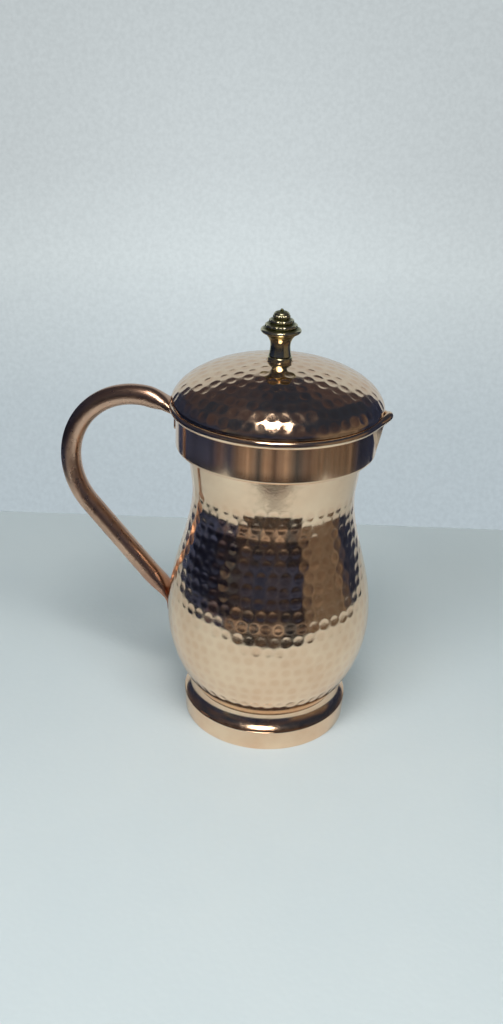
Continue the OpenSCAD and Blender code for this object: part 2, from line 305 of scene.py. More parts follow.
def arc(centre: Point, radius: float, start: float, end: float, steps: int) -> Outline:
    """Points of an arc in an outline.

    Args:
        centre: distance from the axis and height of the arc's centre.
        radius: the arc's radius.
        start: first angle in degrees, from the outward direction towards up.
        end: last angle in degrees.
        steps: straight pieces along the arc.

    Returns:
        The arc's points, both ends among them.
    """
    angles = [math.radians(start + (end - start) * i / steps) for i in range(steps + 1)]
    return [(centre[0] + radius * math.cos(a), centre[1] + radius * math.sin(a)) for a in angles]


def offset(path: Outline, distance: float) -> Outline:
    """Moves a path to its left by a distance, square to the path.

    Args:
        path: the points.
        distance: how far the path moves.

    Returns:
        The moved points.
    """
    moved = []
    for i, (r, z) in enumerate(path):
        before, after = path[max(i - 1, 0)], path[min(i + 1, len(path) - 1)]
        along = Vector((after[0] - before[0], after[1] - before[1])).normalized()
        moved.append((r - distance * along.y, z + distance * along.x))
    return moved


def thin_out(path: Outline, keep: int) -> Outline:
    """Keeps every so many points of a path, and its last one."""
    return path[::keep] + ([] if (len(path) - 1) % keep == 0 else [path[-1]])


def lathe(outline: Outline, steps: int, closed: bool) -> bmesh.types.BMesh:
    """Spins an outline once round the jug's axis.

    Args:
        outline: points as distance from the axis and height.
        steps: faces round the axis.
        closed: whether the last point joins the first one.

    Returns:
        The spun mesh.
    """
    bm = bmesh.new()
    verts = [bm.verts.new((r * MM, 0, z * MM)) for r, z in outline]
    edges = [bm.edges.new(pair) for pair in zip(verts, verts[1:])]
    if closed:
        edges.append(bm.edges.new((verts[-1], verts[0])))
    bmesh.ops.spin(bm, geom=verts + edges, cent=(0, 0, 0), axis=(0, 0, 1), dvec=(0, 0, 0), angle=FULL_TURN,
                   steps=steps, use_merge=True)
    bmesh.ops.remove_doubles(bm, verts=bm.verts, dist=WELD)
    bmesh.ops.recalc_face_normals(bm, faces=bm.faces)
    return bm


def soften(bm: bmesh.types.BMesh, size: float, segments: int = 2, angle: float = 35.0) -> None:
    """Rounds every edge that is sharper than an angle.

    Args:
        bm: the mesh.
        size: width of the rounding in millimetres.
        segments: faces across the rounding.
        angle: smallest angle that is rounded, in degrees.
    """
    limit = math.radians(angle)
    sharp = [e for e in bm.edges if len(e.link_faces) == 2 and e.calc_face_angle() > limit]
    bmesh.ops.bevel(bm, geom=sharp, offset=size * MM, offset_type="OFFSET", affect="EDGES", segments=segments,
                    profile=0.5, material=-1, clamp_overlap=True)


def carve(bm: bmesh.types.BMesh, tool: bmesh.types.BMesh) -> bmesh.types.BMesh:
    """Cuts one closed mesh out of another.

    Args:
        bm: the mesh that is cut, which is freed.
        tool: the mesh that is taken away, which is freed.

    Returns:
        What is left.
    """
    objects = []
    for part in (bm, tool):
        mesh = bpy.data.meshes.new("blank")
        part.to_mesh(mesh)
        part.free()
        objects.append(bpy.data.objects.new("blank", mesh))
        bpy.context.scene.collection.objects.link(objects[-1])
    cut = objects[0].modifiers.new("cut", "BOOLEAN")
    cut.operation, cut.solver, cut.object = "DIFFERENCE", "EXACT", objects[1]
    graph = bpy.context.evaluated_depsgraph_get()
    made = bmesh.new()
    made.from_mesh(objects[0].evaluated_get(graph).to_mesh())
    for blank in objects:
        bpy.data.meshes.remove(blank.data)
    return made


def finish_piece(bm: bmesh.types.BMesh, name: str, material: bpy.types.Material, body: str,
                 nodes: tuple[str, ...], sharp: float = 40.0) -> bpy.types.Object:
    """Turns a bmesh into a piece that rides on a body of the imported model.

    Args:
        bm: the mesh, which is freed.
        name: the piece's name.
        material: its material.
        body: the body that it rides on.
        nodes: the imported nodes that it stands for.
        sharp: edges above this angle, in degrees, stay sharp.

    Returns:
        The new object.
    """
    mesh = bpy.data.meshes.new(name)
    bm.to_mesh(mesh)
    bm.free()
    mesh.shade_smooth()
    mesh.set_sharp_from_angle(angle=math.radians(sharp))
    mesh.materials.append(material)
    piece = bpy.data.objects.new(name, mesh)
    bpy.context.scene.collection.objects.link(piece)
    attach(piece, body)
    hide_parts(*nodes)
    low = [min(v.co[i] for v in mesh.vertices) / MM for i in range(3)]
    high = [max(v.co[i] for v in mesh.vertices) / MM for i in range(3)]
    triangles = sum(len(p.vertices) - 2 for p in mesh.polygons)
    log.info("%s: %d triangles, from %s to %s mm, for %s", name, triangles,
             [round(v, 1) for v in low], [round(v, 1) for v in high], ", ".join(nodes))
    return piece


@dataclass
class Station:
    """Cross-section of a swept bar at one place of its route."""
    centre: Vector
    forward: Vector
    half_t: float
    half_w: float
    square: float = ROUND
    wrap: float = 0.0


def sweep(stations: list[Station], sides: int, across: Vector, closed: bool = False) -> bmesh.types.BMesh:
    """Draws a bar through its stations: a ring that is extruded and set at each of them.

    Args:
        stations: the cross-sections, in order, in millimetres.
        sides: faces round the bar.
        across: direction of the bar's width, the same at every station.
        closed: whether the last station joins the first one.

    Returns:
        The closed bar.
    """
    bm = bmesh.new()
    ring = bmesh.ops.create_circle(bm, segments=sides, radius=1.0)["verts"]
    shape = [(v.co.x, v.co.y) for v in ring]
    edges = list(bm.edges)

    def place(verts: list, station: Station) -> None:
        """Sets a ring's points at a station."""
        thick = across.cross(station.forward).normalized()
        power = 2 / station.square
        for v, (x, y) in zip(verts, shape):
            dx = math.copysign(abs(x) ** power, x) * station.half_t
            dy = math.copysign(abs(y) ** power, y) * station.half_w
            spot = station.centre + thick * dx + across * dy
            if station.wrap:
                sag = station.wrap - math.sqrt(max(station.wrap ** 2 - dy ** 2, 0))
                spot -= Vector((math.copysign(sag, spot.x), 0, 0))
            v.co = spot * MM

    order = {v: i for i, v in enumerate(ring)}
    place(ring, stations[0])
    first = list(edges)
    for station in stations[1:]:
        made = bmesh.ops.extrude_edge_only(bm, edges=edges)["geom"]
        new_edges = [g for g in made if isinstance(g, bmesh.types.BMEdge)]
        new_verts = [g for g in made if isinstance(g, bmesh.types.BMVert)]
        links = {}
        for v in new_verts:
            for e in v.link_edges:
                other = e.other_vert(v)
                if other in order:
                    links[v] = order[other]
        new_verts.sort(key=lambda v: links[v])
        place(new_verts, station)
        order = {v: links[v] for v in new_verts}
        edges = new_edges
    if closed:
        bmesh.ops.bridge_loops(bm, edges=first + edges)
    else:
        for loop in (first, edges):
            bmesh.ops.edgeloop_fill(bm, edges=loop)
    bmesh.ops.recalc_face_normals(bm, faces=bm.faces)
    return bm


def bezier(points: tuple[Point, Point, Point, Point], steps: int) -> Outline:
    """Points of a cubic curve.

    Args:
        points: the curve's four control points.
        steps: straight pieces along it.

    Returns:
        The curve's points, both ends among them.
    """
    made = []
    for i in range(steps + 1):
        t = i / steps
        weights = ((1 - t) ** 3, 3 * t * (1 - t) ** 2, 3 * t * t * (1 - t), t ** 3)
        made.append(tuple(sum(w * p[k] for w, p in zip(weights, points)) for k in (0, 1)))
    return made


@dataclass
class HammerWork:
    """Rows of round dents, struck side by side on the outside of a spun sheet."""
    first: float
    last: float
    pitch: float = 6.9
    dent_r: float = 3.05
    deep: float = 0.17
    wander: float = 0.06
    soft_blow: float = 0.72
    hard_blow: float = 1.12
    skin: float = 0.05
    steepness: float = 1.5
    seed: int = SEED

    def strike(self, mesh: bpy.types.Mesh, outer: Outline) -> None:
        """Presses the dents into a mesh and writes how deep each point lies.

        Args:
            mesh: the spun mesh, in metres.
            outer: the outline of the struck side, in millimetres.
        """
        rng = random.Random(self.seed)
        tree = kdtree.KDTree(len(outer))
        for i, (r, z) in enumerate(outer):
            tree.insert((r, z, 0), i)
        tree.balance()
        runs = [0.0]
        for a, b in zip(outer, outer[1:]):
            runs.append(runs[-1] + math.dist(a, b))
        runs = np.array(runs)
        lefts = np.array([(m[0] - p[0], m[1] - p[1]) for p, m in zip(outer, offset(outer, 1.0))])
        count = len(mesh.vertices)
        co = np.empty(count * 3)
        mesh.vertices.foreach_get("co", co)
        co = co.reshape(-1, 3) / MM
        radii = np.hypot(co[:, 0], co[:, 1])
        found = [tree.find((r, z, 0)) for r, z in zip(radii, co[:, 2])]
        index = np.array([f[1] for f in found])
        on_outside = np.array([f[2] for f in found]) < self.skin
        run = runs[index]
        angle = np.arctan2(co[:, 1], co[:, 0])
        depth = np.zeros(count)
        rows = max(1, round((self.last - self.first - 2 * self.dent_r) / self.pitch))
        gap = (self.last - self.first - 2 * self.dent_r) / rows
        for k in range(rows + 1):
            row_run = self.first + self.dent_r + gap * k + rng.uniform(-1, 1) * self.wander * self.pitch
            row_r = float(np.interp(row_run, runs, [p[0] for p in outer]))
            number = max(6, round(FULL_TURN * row_r / self.pitch))
            turn = rng.uniform(0, 1)
            shift = np.array([rng.uniform(-1, 1) for _ in range(number)]) * self.wander
            lift = np.array([rng.uniform(-1, 1) for _ in range(number)]) * self.wander * self.pitch
            hard = np.array([rng.uniform(self.soft_blow, self.hard_blow) for _ in range(number)])
            near = np.where(on_outside & (np.abs(run - row_run) < self.dent_r * 1.4))[0]
            slot = (angle[near] / FULL_TURN * number - turn) % number
            base = np.floor(slot).astype(int)
            for step in (-1, 0, 1, 2):
                j = (base + step) % number
                side = (slot - (base + step) - shift[j]) * FULL_TURN * row_r / number
                high = run[near] - row_run - lift[j]
                reach = (side ** 2 + high ** 2) / (self.dent_r ** 2 * hard[j])
                dent = np.clip(1 - reach ** self.steepness, 0, 1)
                depth[near] = np.maximum(depth[near], self.deep * hard[j] * dent)
        co[:, 0] += np.cos(angle) * lefts[index, 0] * depth
        co[:, 1] += np.sin(angle) * lefts[index, 0] * depth
        co[:, 2] += lefts[index, 1] * depth
        mesh.vertices.foreach_set("co", (co * MM).ravel())
        layer = mesh.attributes.new("dent", "FLOAT", "POINT")
        layer.data.foreach_set("value", np.clip(depth / self.deep, 0, 1).astype(np.float32))
        mesh.update()


# ---------------------------------------------------------------------------------------------
# The jug
# ---------------------------------------------------------------------------------------------

@dataclass
class Body:
    """The spun and hammered body, from the spigot in the foot to the flange under the collar."""
    sheet: float = 1.0
    belly_r: float = 60.57
    belly_z: float = 70.0
    belly_arc: float = 80.0
    shoulder_h: float = 82.0
    neck_r: float = 46.0
    neck_z: float = 152.0
    neck_slope: float = 0.15
    flare_soft: float = 8.0
    flare_r: float = 2.6
    waist_z: float = 21.0
    spigot_z: float = 16.5
    ledge_z: float = 175.0
    flange_r: float = 54.9
    hammer_low: float = 30.5
    hammer_high: float = 154.0
    grain_step: float = 0.85
    columns: int = 432

    def flare(self, z: float) -> float:
        """Growth of the neck's radius near the collar, at a height."""
        above = z - (self.neck_z - self.flare_soft / 2)
        return self.neck_slope / 2 * (above + math.hypot(above, self.flare_soft))

    def radius(self, z: float) -> float:
        """Radius of the body's outside at a height."""
        if z < self.belly_z:
            return self.belly_r - self.belly_arc + math.sqrt(self.belly_arc ** 2 - (self.belly_z - z) ** 2)
        fall = (1 - math.cos(math.pi * max(0.0, self.neck_z - z) / self.shoulder_h)) / 2
        return self.neck_r + (self.belly_r - self.neck_r) * fall + self.flare(z) - self.flare(self.belly_z)

    def outside(self) -> Outline:
        """The outside outline, from the waist to the flange."""
        lean = math.atan(self.neck_slope)
        top = self.ledge_z - self.flare_r * (1 - math.sin(lean))
        steps = round((top - self.waist_z) / self.grain_step)
        heights = [self.waist_z + 0.4 + (top - self.waist_z - 0.4) * i / steps for i in range(steps + 1)]
        path = [(self.radius(z), z) for z in heights]
        flare_x = self.radius(top) + self.flare_r * math.cos(lean)
        turn = arc((flare_x, self.ledge_z - self.flare_r), self.flare_r, 180 - math.degrees(lean), 90, 6)
        return path + turn[1:] + [(self.flange_r, self.ledge_z)]

    def build(self, finish: bpy.types.Material) -> None:
        """Spins the body, hammers it and makes it a piece.

        Args:
            finish: the hammered copper.
        """
        outside = self.outside()
        seat_r = self.radius(self.waist_z) - self.sheet
        outer = [(seat_r, self.spigot_z), (seat_r, self.waist_z)] + outside
        inner = offset(thin_out(outside, 5), self.sheet)
        inner = [(seat_r - self.sheet, self.spigot_z), (seat_r - self.sheet, self.waist_z)] + inner
        bm = lathe(outer + inner[::-1], self.columns, closed=True)
        piece = finish_piece(bm, "hammered_body", finish, "jug", ("body_shell",), sharp=60)
        runs, total = [], 0.0
        for a, b in zip([outer[0]] + outer, outer):
            total += math.dist(a, b)
            runs.append((b[1], total))
        start = next(run for z, run in runs if z >= self.hammer_low)
        end = next(run for z, run in runs if z >= self.hammer_high)
        HammerWork(first=start, last=end).strike(piece.data, outer)


@dataclass
class Foot:
    """The spun foot ring, with its hollow curve, sharp edge, band and folded hem, and the dished bottom."""
    sheet: float = 1.0
    waist_r: float = 43.84
    waist_z: float = 21.0
    foot_out: float = 6.2
    foot_taper: float = 0.8
    cove_r: float = 9.0
    hem_h: float = 3.0
    spigot_z: float = 16.5
    columns: int = 192

    def build(self, finish: bpy.types.Material, inside: bpy.types.Material) -> None:
        """Spins the ring and the bottom.

        Args:
            finish: the polished copper of the ring.
            inside: the dull copper of the bottom.
        """
        base_r = self.waist_r + self.foot_out - self.foot_taper
        edge = math.degrees(math.acos(1 - self.foot_out / self.cove_r))
        centre = (self.waist_r + self.cove_r, self.waist_z)
        cove = arc(centre, self.cove_r, 180 + edge, 180, 22)
        edge_z = cove[0][1]
        band = [(base_r + (cove[0][0] - base_r) * i / 4, edge_z * i / 4) for i in range(4)]
        outer = band + cove
        inner = offset(outer, self.sheet)
        hem_r = base_r - 2 * self.sheet
        outline = outer + inner[:3:-1] + [(base_r - self.sheet + 0.1, self.hem_h), (hem_r, self.hem_h),
                                          (hem_r, 0)]
        bm = lathe(outline, self.columns, closed=True)
        soften(bm, 0.35, segments=3)
        finish_piece(bm, "spun_foot", finish, "jug", ("foot_ring",))
        disc_r = self.waist_r - 2 * self.sheet
        dish = [(0, self.waist_z), (disc_r * 0.5, self.waist_z), (disc_r, self.waist_z),
                (disc_r, self.spigot_z), (disc_r - self.sheet, self.spigot_z),
                (disc_r - self.sheet, self.waist_z - self.sheet), (disc_r * 0.5, self.waist_z - self.sheet),
                (0, self.waist_z - self.sheet)]
        bm = lathe(dish, self.columns, closed=False)
        soften(bm, 0.3)
        finish_piece(bm, "dished_bottom", inside, "jug", ("bottom_disc",))


@dataclass
class Collar:
    """The straight collar with its rolled rim, and the folded spout with its rolled lips."""
    sheet: float = 1.0
    collar_r: float = 56.4
    collar_z: float = 174.0
    rim_z: float = 197.0
    corner_r: float = 2.0
    flange_in: float = 53.0
    roll_r: float = 2.3
    wire_r: float = 1.3
    spout_half: float = 14.0
    spout_reach: float = 4.7
    spout_h: float = 20.0
    tip_rise: float = 3.2
    columns: int = 240

    @property
    def roll_x(self) -> float:
        """Distance of the rolled rim's middle from the axis."""
        return self.collar_r - self.sheet + self.roll_r

    def build(self, band: bpy.types.Material, polished: bpy.types.Material) -> None:
        """Makes the band, the rolled rim and the spout.

        Args:
            band: the copper of the band, brushed round.
            polished: the polished copper of the rim and spout.
        """
        corner = arc((self.collar_r - self.corner_r, self.collar_z + self.corner_r), self.corner_r, -90, 0, 8)
        wall = [(self.collar_r, z) for z in (182.0, 188.0, 193.0, self.rim_z)]
        outer = [(self.flange_in, self.collar_z)] + corner + wall
        inner = offset(outer, self.sheet)
        bm = lathe(outer + inner[::-1], self.columns, closed=True)
        bm = self.cut_spout(bm)
        finish_piece(bm, "collar_band", band, "jug", ("neck_collar",))
        self.build_roll(polished)
        self.build_spout(band)

    def spout_points(self) -> tuple[Vector, Vector, Vector]:
        """Foot, tip and side corner of the spout's outer face."""
        half = math.radians(self.spout_half)
        foot = Vector((self.collar_r - 0.1, 0, self.rim_z - self.spout_h))
        tip = Vector((self.collar_r + self.spout_reach, 0, self.rim_z))
        side = Vector((self.collar_r * math.cos(half), self.collar_r * math.sin(half), self.rim_z))
        return foot, tip, side

    def cut_spout(self, bm: bmesh.types.BMesh) -> bmesh.types.BMesh:
        """Opens the V-shaped notch in the band that the spout is folded over.

        Args:
            bm: the band's mesh, which is freed.

        Returns:
            The notched band.
        """
        foot, _, side = self.spout_points()
        tool = bmesh.new()
        for scale in (0.9, 1.1):
            for spot, lift in ((foot, 0.0), (side, 0.0), (side, 6.0)):
                for flip in (1, -1):
                    grow = 1 + lift / self.spout_h
                    corner = Vector((spot.x * scale, spot.y * flip * scale * grow, spot.z + lift))
                    tool.verts.new(corner * MM)
        bmesh.ops.remove_doubles(tool, verts=tool.verts, dist=1e-6)
        bmesh.ops.convex_hull(tool, input=tool.verts)
        bmesh.ops.recalc_face_normals(tool, faces=tool.faces)
        return carve(bm, tool)

    def build_roll(self, finish: bpy.types.Material) -> None:
        """Rolls the rim over its wire, from one side of the spout to the other, and round the lips.

        Args:
            finish: the polished copper.
        """
        _, tip, _ = self.spout_points()
        turn = 360 - 2 * self.spout_half
        steps, lip_steps, cover, passes = 220, 12, 0.9, 7
        ring = []
        for i in range(steps + 1):
            a = math.radians(self.spout_half + turn * i / steps)
            ring.append(Vector((self.roll_x * math.cos(a), self.roll_x * math.sin(a), self.rim_z)))
        point = Vector((tip.x + self.wire_r + cover, 0, self.rim_z))
        lips = []
        for flip in (-1, 1):
            for i in range(1, lip_steps):
                near = i / lip_steps if flip < 0 else 1 - i / lip_steps
                out = self.roll_x + (point.x - self.roll_x) * near ** 2.2
                a = math.radians(self.spout_half * (1 - near)) * flip
                lips.append(Vector((out * math.cos(a), out * math.sin(a),
                                    self.rim_z + self.tip_rise * near ** 3)))
        lips.insert(lip_steps - 1, point + Vector((0, 0, self.tip_rise)))
        ring += lips
        # the corners where the rim meets the lips are eased, and the rest of the rim stays round
        for _ in range(passes):
            ring = [c if 5 < i < steps - 5 else (ring[i - 1] + c * 2 + ring[(i + 1) % len(ring)]) / 4
                    for i, c in enumerate(ring)]
        bars = []
        for i, spot in enumerate(ring):
            way = (ring[(i + 1) % len(ring)] - ring[i - 1]).normalized()
            bars.append(Station(spot, way, self.roll_r, self.roll_r))
        bm = sweep(bars, 20, Vector((0, 0, 1)), closed=True)
        finish_piece(bm, "rolled_rim", finish, "jug", ("spout_edge", "rim_wire"))

    def build_spout(self, finish: bpy.types.Material) -> None:
        """Folds the spout from a sheet with a soft keel.

        Args:
            finish: the copper of the spout.
        """
        foot, tip, side = self.spout_points()
        bm = bmesh.new()
        bmesh.ops.create_grid(bm, x_segments=28, y_segments=12, size=1.0)
        for v in bm.verts:
            t, s = (v.co.y + 1) / 2, v.co.x
            keel = foot.lerp(tip, t)
            edge = foot.lerp(Vector((side.x, math.copysign(side.y, s), side.z)), t)
            spot = keel.lerp(edge, min(math.sqrt(s * s + 0.004), 1.0))
            spot.y = edge.y * abs(s)
            spot.z += self.tip_rise * t ** 4 * (1 - abs(s)) ** 2
            v.co = spot * MM
        bmesh.ops.remove_doubles(bm, verts=bm.verts, dist=1e-6)
        bmesh.ops.recalc_face_normals(bm, faces=bm.faces)
        if sum(f.normal.x for f in bm.faces) < 0:
            bmesh.ops.reverse_faces(bm, faces=bm.faces)
        bmesh.ops.solidify(bm, geom=bm.faces, thickness=self.sheet * 0.9 * MM)
        bmesh.ops.recalc_face_normals(bm, faces=bm.faces)
        finish_piece(bm, "folded_spout", finish, "jug", ("spout_beak",))


@dataclass
class Handle:
    """The bent copper tube with both ends pressed flat, one on the collar and one on the belly."""
    collar_r: float = 56.4
    tube_r: float = 6.0
    flat_t: float = 2.1
    tab_w: float = 16.0
    tab_top: float = 194.4
    tab_h: float = 15.0
    tongue_h: float = 15.0
    bend_x: float = 81.38
    bend_z: float = 152.0
    bend_r: float = 43.0
    run_slant: float = 42.4
    top_angle: float = 98.0
    flatten: float = 18.0
    tab_square: float = 6.0
    tongue_square: float = 5.0
    sides: int = 40

    def route(self, body: Body) -> list[tuple[Point, float, float, float, float]]:
        """The handle's route with its cross-sections.

        Args:
            body: the body that the tongue lies on.

        Returns:
            For each place its point, half thickness, half width, squareness and wrap radius.
        """
        half_flat = self.flat_t / 2
        tab_x = self.collar_r + half_flat
        top = math.radians(self.top_angle)
        start = (self.bend_x + self.bend_r * math.cos(top), self.bend_z + self.bend_r * math.sin(top))
        ahead = (math.sin(top), -math.cos(top))
        made = []
        low = self.tab_top - self.tab_h
        tab_steps, turn_steps, bend_steps, run_steps, tongue_steps, end_steps = 6, 22, 56, 14, 20, 8
        for i in range(tab_steps):
            z = low + 0.25 + 5.5 * i / tab_steps
            thin, narrow = (1, 1.0) if i else (0.75, 0.9)
            made.append(((tab_x, z), half_flat * thin, self.tab_w / 2 * narrow, self.tab_square,
                         self.collar_r))
        turn = bezier(((tab_x, low + 6), (tab_x, self.tab_top - 3.6),
                       (start[0] - 9.5 * ahead[0], start[1] - 9.5 * ahead[1] - 1.2), start), turn_steps)
        for i, p in enumerate(turn):
            t = i / turn_steps
            grow = (t * t * (3 - 2 * t)) ** 1.15
            made.append((p, half_flat + (self.tube_r - half_flat) * grow,
                         self.tab_w / 2 + (self.tube_r - self.tab_w / 2) * grow,
                         self.tab_square - (self.tab_square - ROUND) * min(1.0, t * 1.6),
                         self.collar_r if t < 0.35 else 0.0))
        for i in range(1, bend_steps + 1):
            a = math.radians(self.top_angle - (self.top_angle + self.run_slant) * i / bend_steps)
            made.append(((self.bend_x + self.bend_r * math.cos(a), self.bend_z + self.bend_r * math.sin(a)),
                         self.tube_r, self.tube_r, ROUND, 0.0))
        slant = math.radians(self.run_slant)
        run_start = made[-1][0]
        way = (-math.sin(slant), -math.cos(slant))
        length = 75.0  # a first guess, which each round brings nearer to the belly
        for _ in range(8):
            z = run_start[1] + way[1] * length
            length = (run_start[0] - body.radius(z) - self.flat_t) / math.sin(slant)
        landing = (run_start[0] + way[0] * length, run_start[1] + way[1] * length)
        straight = length - self.flatten
        for i in range(1, run_steps + 1):
            t = straight * i / run_steps
            made.append(((run_start[0] + way[0] * t, run_start[1] + way[1] * t), self.tube_r, self.tube_r,
                         ROUND, 0.0))
        begin = made[-1][0]
        tongue_top = landing[1] + self.tongue_h / 3
        tongue_z = landing[1] - 3.0
        end = (body.radius(tongue_z) + half_flat, tongue_z)
        below = (body.radius(tongue_z - 1) + half_flat, tongue_z - 1)
        slope = Vector((below[0] - end[0], -1.0)).normalized()
        curve = bezier((begin, (begin[0] + way[0] * 7, begin[1] + way[1] * 7),
                        (end[0] - slope.x * 6.5, end[1] - slope.y * 6.5), end), tongue_steps)
        for i, p in enumerate(curve[1:], 1):
            t = i / tongue_steps
            grow = t * t * (3 - 2 * t)
            made.append((p, self.tube_r + (half_flat - self.tube_r) * grow,
                         self.tube_r + (self.tab_w / 2 - self.tube_r) * grow,
                         ROUND + (self.tongue_square - ROUND) * grow,
                         body.radius(p[1]) if t > 0.7 else 0.0))
        last = tongue_top - self.tongue_h + 0.2
        for i in range(1, end_steps + 1):
            z = tongue_z + (last - tongue_z) * i / end_steps
            left = (z - last) / 4.0
            narrow = math.sqrt(max(0.0, 1 - max(0.0, 1 - left) ** 2)) if left < 1 else 1.0
            made.append(((body.radius(z) + half_flat, z), half_flat * (0.8 if i == end_steps else 1.0),
                         self.tab_w / 2 * max(0.45, narrow), self.tongue_square, body.radius(z)))
        return made

    def build(self, body: Body, finish: bpy.types.Material) -> None:
        """Bends and flattens the tube.

        Args:
            body: the body that the tongue lies on.
            finish: the satin copper.
        """
        places = self.route(body)
        stations = []
        for i, (p, half_t, half_w, square, wrap) in enumerate(places):
            before, after = places[max(i - 1, 0)][0], places[min(i + 1, len(places) - 1)][0]
            forward = Vector((-(after[0] - before[0]), 0, after[1] - before[1])).normalized()
            stations.append(Station(Vector((-p[0], 0, p[1])), forward, half_t, half_w, square, wrap))
        bm = sweep(stations, self.sides, Vector((0, 1, 0)))
        finish_piece(bm, "bent_handle", finish, "jug", ("handle",), sharp=50)


@dataclass
class Lid:
    """The spun and hammered lid with its upright edge; its hem and locating ring stay as imported nodes."""
    sheet: float = 1.0
    lid_r: float = 59.1
    dome_r: float = 59.6
    dome_h: float = 26.6
    bottom: float = 199.9
    edge_h: float = 1.3
    crown_r: float = 7.2
    hole_r: float = 2.15
    hammer_r: float = 58.75
    grain_step: float = 0.8
    columns: int = 400

    @property
    def dome_z(self) -> float:
        """Height of the dome's centre of curve."""
        return self.bottom + self.edge_h - self.dome_h * math.sin(math.acos(self.lid_r / self.dome_r))

    def height(self, r: float) -> float:
        """Height of the dome's outside at a distance from the axis."""
        return self.dome_z + self.dome_h * math.sqrt(max(0.0, 1 - (r / self.dome_r) ** 2))

    def build(self, finish: bpy.types.Material) -> None:
        """Spins the lid and hammers it.

        Args:
            finish: the hammered copper.
        """
        start = math.degrees(math.acos(self.lid_r / self.dome_r))
        end = math.degrees(math.acos(self.crown_r / self.dome_r))
        dome, angle = [], start
        while angle < end:
            a = math.radians(angle)
            dome.append((self.dome_r * math.cos(a), self.dome_z + self.dome_h * math.sin(a)))
            speed = math.hypot(self.dome_r * math.sin(a), self.dome_h * math.cos(a))
            angle += math.degrees(self.grain_step / speed)
        crown_z = self.height(self.crown_r)
        outer = [(self.lid_r, self.bottom)] + dome + [(self.crown_r, crown_z), (self.hole_r, crown_z)]
        inner = thin_out([(self.lid_r, self.bottom)] + dome, 5) + [(self.crown_r, crown_z)]
        inner = offset(inner, self.sheet)
        inner[-1] = (self.crown_r, crown_z - self.sheet)
        inner.append((self.hole_r, crown_z - self.sheet))
        bm = lathe(outer + inner[::-1], self.columns, closed=True)
        piece = finish_piece(bm, "hammered_lid", finish, "lid", ("lid_dome",), sharp=60)
        first = next(sum(math.dist(a, b) for a, b in zip(outer[:i], outer[1:i + 1]))
                     for i, p in enumerate(outer) if p[0] < self.hammer_r and i > 1)
        last = sum(math.dist(a, b) for a, b in zip(outer[:-2], outer[1:-1])) + 1.5
        HammerWork(first=first, last=last, pitch=6.7, dent_r=3.0, deep=0.21, seed=SEED + 1).strike(
            piece.data, outer)


@dataclass
class Knob:
    """The turned brass knob: a waisted stem under a stack of scalloped discs and a small ball."""
    crown_z: float = 224.17
    base_r: float = 6.8
    stem_r: float = 5.9
    stem_h: float = 15.4
    disc_r: float = 11.1
    disc_t: float = 2.55
    disc_step: float = 2.1
    discs: int = 4
    lobes: int = 18
    lobe_depth: float = 0.35
    columns: int = 144

    def outline(self) -> Outline:
        """The knob's outside, from its base up to its tip."""
        z = self.crown_z
        path = [(0.0, z), (self.base_r, z), (self.base_r, z + 0.9)]
        path += arc((self.base_r - 0.75, z + 1.5), 0.75, -20, 110, 6)
        path += [(self.base_r - 1.35, z + 2.35)]
        stem_low, stem_high = z + 2.8, z + self.stem_h - 1.4
        for i in range(15):
            t = i / 14
            bulge = math.sin(math.pi * t) * 0.75
            grow = 1.6 * t ** 5
            path.append((self.stem_r + 0.35 - bulge + grow, stem_low + (stem_high - stem_low) * t))
        rim_z = z + self.stem_h
        path += [(self.disc_r - 2.6, rim_z - 0.7), (self.disc_r - 0.9, rim_z - 0.05)]
        for k in range(self.discs):
            r, low = self.disc_r - k * self.disc_step, rim_z + k * self.disc_t
            half = self.disc_t / 2 - 0.25
            path += arc((r - half, low + half + 0.1), half, -80, 85, 8)
            path.append((r - half - 1.0, low + self.disc_t - 0.22))
        low, tip_z = rim_z + self.discs * self.disc_t - 0.35, self.crown_z + 28.27
        dome_r, dome_h, ball_r = self.disc_r - 3 * self.disc_step - 0.5, tip_z - low - 1.1, 0.95
        for i in range(9):
            a = math.radians(8 * i + 4)
            path.append((dome_r * math.cos(a), low + dome_h * math.sin(a)))
        path += arc((0.0, tip_z - ball_r), ball_r, -30, 90, 6)[:-1]
        return path + [(0.0, tip_z)]

    def build(self, finish: bpy.types.Material) -> None:
        """Turns the knob and files the scallops.

        Args:
            finish: the turned brass.
        """
        outline = self.outline()
        bm = lathe(outline, self.columns, closed=False)
        rim_z = self.crown_z + self.stem_h
        tiers_top = rim_z + self.discs * self.disc_t
        for v in bm.verts:
            r, z = math.hypot(v.co.x, v.co.y) / MM, v.co.z / MM
            if rim_z + self.disc_t < z < tiers_top and r > 3:
                tier_r = self.disc_r - self.disc_step * math.floor((z - rim_z) / self.disc_t)
                near = max(0.0, min(1.0, (r - tier_r + 1.6) / 1.6))
                a = math.atan2(v.co.y, v.co.x)
                cut = self.lobe_depth * near * (1 - abs(math.cos(a * self.lobes / 2)))
                v.co.x *= 1 - cut / r
                v.co.y *= 1 - cut / r
        piece = finish_piece(bm, "turned_knob", finish, "lid", ("knob_finial",), sharp=50)
        # painted shade: how far each point lies below the widest outline within 1.5 mm, which the brass turns
        # into darkness in the grooves
        values = []
        for v in piece.data.vertices:
            r, z = math.hypot(v.co.x, v.co.y) / MM, v.co.z / MM
            widest = max(p[0] for p in outline if abs(p[1] - z) < 1.5)
            values.append(max(0.0, min(1.0, (widest - r - 0.3) / 1.6)))
        groove_shade = piece.data.attributes.new("groove_shade", "FLOAT", "POINT")
        groove_shade.data.foreach_set("value", values)


# ---------------------------------------------------------------------------------------------
# Studio
# ---------------------------------------------------------------------------------------------

